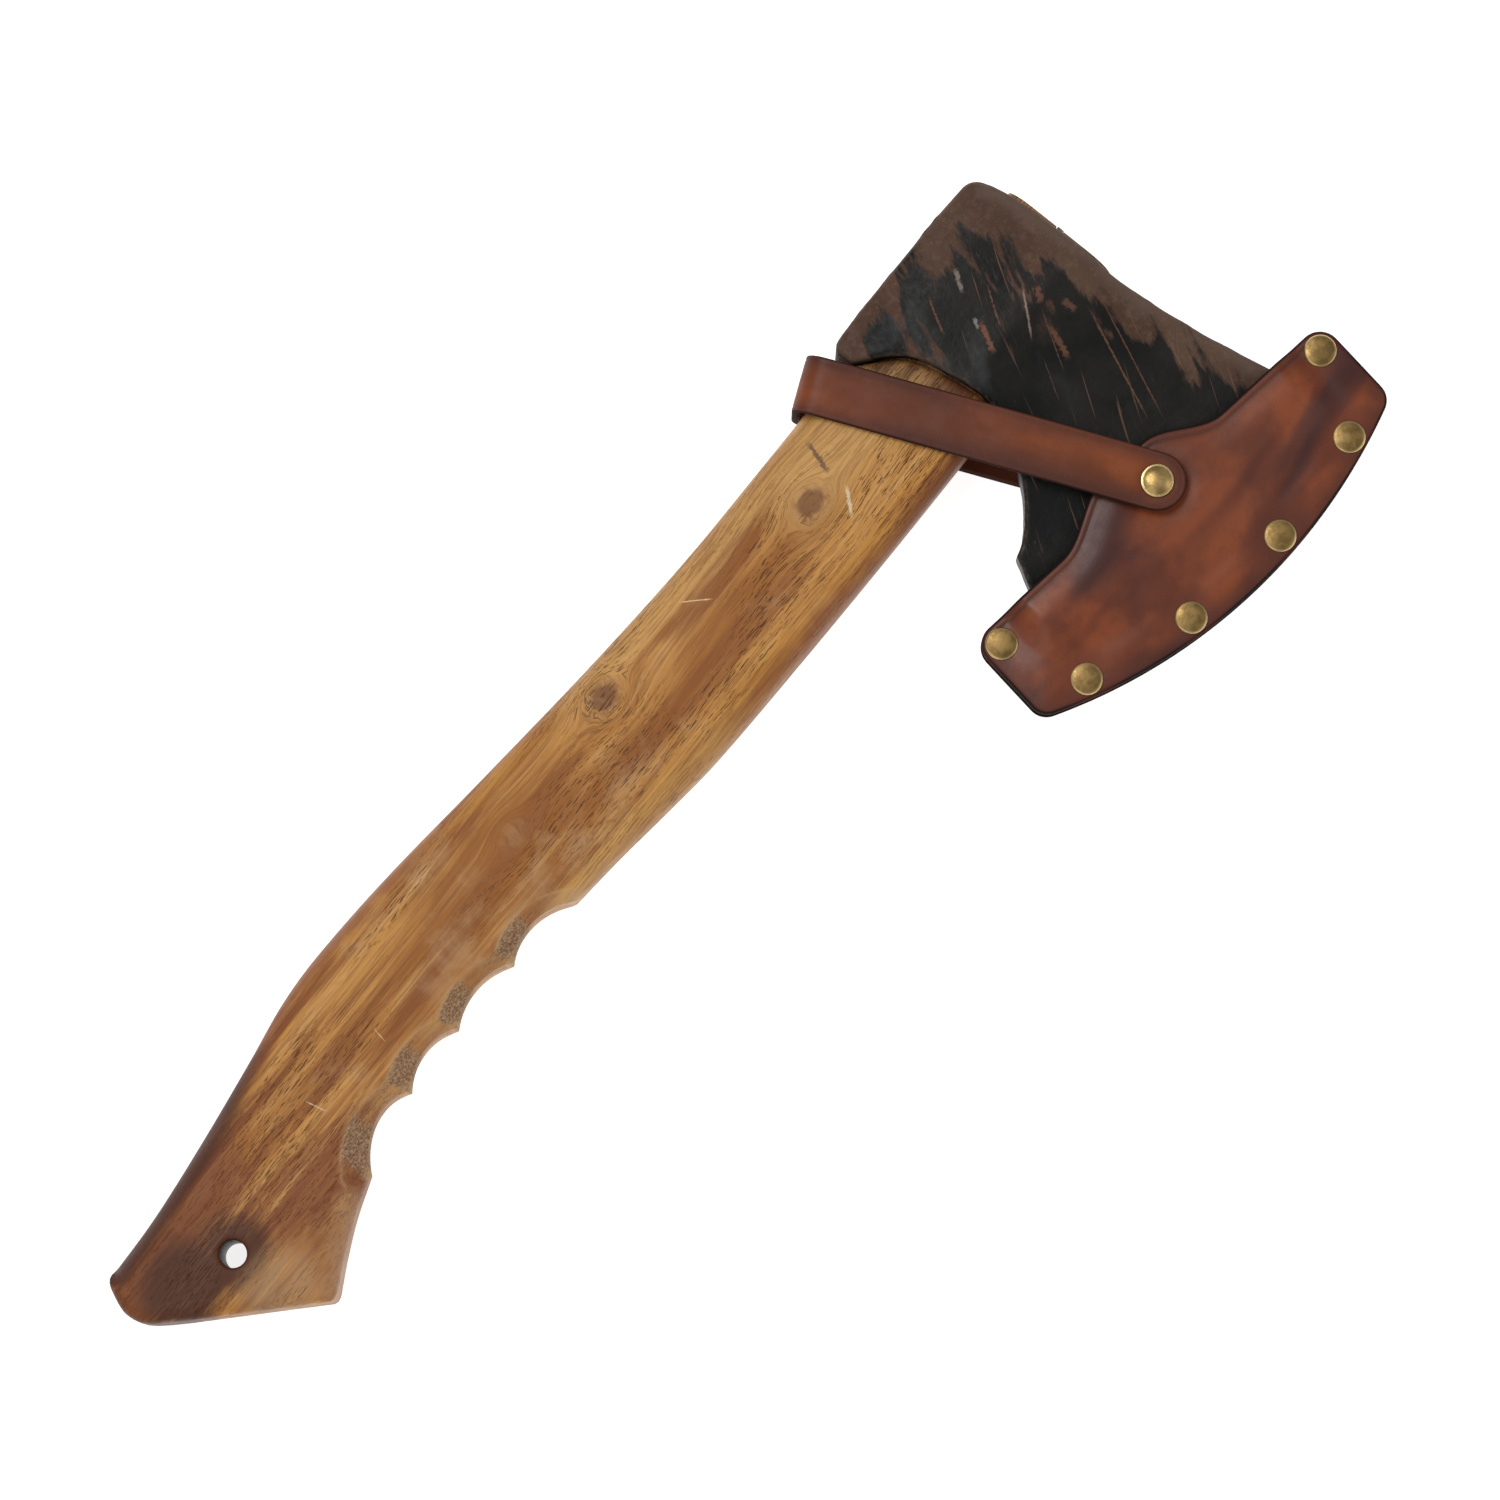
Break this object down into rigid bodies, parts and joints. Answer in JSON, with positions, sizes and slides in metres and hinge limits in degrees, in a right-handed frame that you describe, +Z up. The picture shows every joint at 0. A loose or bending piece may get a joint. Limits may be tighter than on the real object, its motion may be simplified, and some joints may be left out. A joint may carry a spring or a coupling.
{
  "type": "hatchet",
  "caption": "Bearded hatchet with a grooved wooden handle and a riveted leather mask over its edge, held by a strap that snaps shut.",
  "frame": {"origin": "centre of the whole hatchet's outline, on the surface it lies on", "axes": "+X from the butt towards the head, -Y from the poll towards the cutting edge, +Z up, out of the side with the snap"},
  "size_m": [0.4108, 0.136, 0.0317],
  "materials": {
    "forged_steel": "black forge scale, satin, scratched and rusted brown at the poll and top edge",
    "wood": "oiled open-pored hardwood, worn, darker at the butt",
    "wedge_wood": "rough end grain",
    "bare_steel": "dull bare steel",
    "mask_leather": "hand-dyed chestnut, waxed and glossy, mottled",
    "welt_leather": "burnished near-black edge",
    "strap_leather": "waxed brown with burnished edges",
    "aged_brass": "antique brass with a worn rim",
    "bright_brass": "polished brass"
  },
  "bodies": {
    "axe": {"head": "forged_steel", "handle": "wood", "wooden_wedge": "wedge_wood", "steel_wedge": "bare_steel"},
    "sheath": {"sheath_front_panel": "mask_leather", "sheath_back_panel": "mask_leather", "sheath_welt": "welt_leather", "rivet_1_cap": "aged_brass", "rivet_2_cap": "aged_brass", "rivet_3_cap": "aged_brass", "rivet_4_cap": "aged_brass", "rivet_5_cap": "aged_brass", "rivet_6_cap": "aged_brass", "rivet_1_post": "aged_brass", "rivet_2_post": "aged_brass", "rivet_3_post": "aged_brass", "rivet_4_post": "aged_brass", "rivet_5_post": "aged_brass", "rivet_6_post": "aged_brass", "strap_rivet_cap": "aged_brass", "strap_rivet_post": "aged_brass", "snap_stud_post": "bright_brass", "snap_stud": "bright_brass", "strap_back_run": "strap_leather"},
    "strap_bend": {"strap_bend": "strap_leather"},
    "strap_front": {"strap_front_run": "strap_leather", "snap_socket": "bright_brass", "snap_cap": "bright_brass"}
  },
  "joints": [
    {"name": "sheath_slide", "type": "slide", "parent": "axe", "child": "sheath", "axis": [-0.1452, -0.9894, 0], "range_m": [0, 0.14], "deforming": ["strap_back_run", "strap_bend", "strap_front_run"]},
    {"name": "strap_open", "type": "hinge", "parent": "sheath", "child": "strap_bend", "pos_m": [0.10418, 0.06257, 0.00237], "axis": [-0.9187, -0.3949, 0], "range_deg": [0, 80]},
    {"name": "strap_unfold", "type": "hinge", "parent": "strap_bend", "child": "strap_front", "pos_m": [0.10418, 0.06257, 0.02863], "axis": [-0.9187, -0.3949, 0], "range_deg": [0, 80]}
  ],
  "couplings": [
    {"joint": "strap_unfold", "follows": "strap_open", "ratio": 1}
  ]
}
